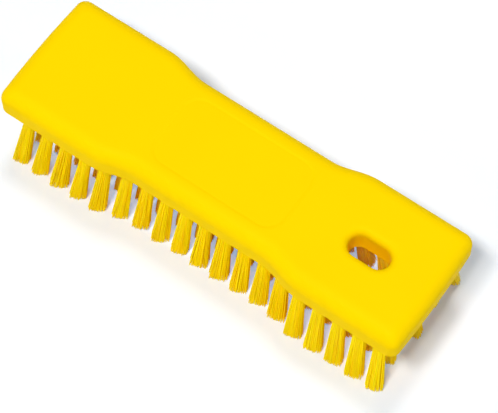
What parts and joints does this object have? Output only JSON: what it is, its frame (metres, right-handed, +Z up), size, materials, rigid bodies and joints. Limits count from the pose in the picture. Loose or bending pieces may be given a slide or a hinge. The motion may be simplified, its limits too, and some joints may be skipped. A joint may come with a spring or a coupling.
{
  "type": "hand scrub brush",
  "caption": "Hand scrub brush: a waisted plastic block with rounded edges and a hanging slot, over leaning tufts of stiff bristles.",
  "frame": {"origin": "under the middle of the block, at the floor that the bristle tips stand on", "axes": "+X along the block towards its hanging slot, +Y across it, +Z up from the bristle tips to the block's flat top"},
  "size_m": [0.2, 0.0662, 0.052],
  "materials": {
    "block": "moulded polypropylene, dyed through, satin",
    "bristles": "drawn polyester filament, trimmed flat"
  },
  "bodies": {
    "root": {"block": "block", "tuft_front_01": "bristles", "tuft_front_02": "bristles", "tuft_front_03": "bristles", "tuft_front_04": "bristles", "tuft_front_05": "bristles", "tuft_front_06": "bristles", "tuft_front_07": "bristles", "tuft_front_08": "bristles", "tuft_front_09": "bristles", "tuft_front_10": "bristles", "tuft_front_11": "bristles", "tuft_front_12": "bristles", "tuft_front_13": "bristles", "tuft_front_14": "bristles", "tuft_front_15": "bristles", "tuft_front_16": "bristles", "tuft_front_17": "bristles", "tuft_front_18": "bristles", "tuft_front_19": "bristles", "tuft_inner_front_01": "bristles", "tuft_inner_front_02": "bristles", "tuft_inner_front_03": "bristles", "tuft_inner_front_04": "bristles", "tuft_inner_front_05": "bristles", "tuft_inner_front_06": "bristles", "tuft_centre_01": "bristles", "tuft_centre_02": "bristles", "tuft_centre_03": "bristles", "tuft_centre_04": "bristles", "tuft_centre_05": "bristles", "tuft_centre_06": "bristles", "tuft_inner_back_01": "bristles", "tuft_inner_back_02": "bristles", "tuft_inner_back_03": "bristles", "tuft_inner_back_04": "bristles", "tuft_inner_back_05": "bristles", "tuft_inner_back_06": "bristles", "tuft_back_01": "bristles", "tuft_back_02": "bristles", "tuft_back_03": "bristles", "tuft_back_04": "bristles", "tuft_back_05": "bristles", "tuft_back_06": "bristles", "tuft_back_07": "bristles", "tuft_back_08": "bristles", "tuft_back_09": "bristles", "tuft_back_10": "bristles", "tuft_back_11": "bristles", "tuft_back_12": "bristles", "tuft_back_13": "bristles", "tuft_back_14": "bristles", "tuft_back_15": "bristles", "tuft_back_16": "bristles", "tuft_back_17": "bristles", "tuft_back_18": "bristles", "tuft_back_19": "bristles"}
  },
  "joints": []
}
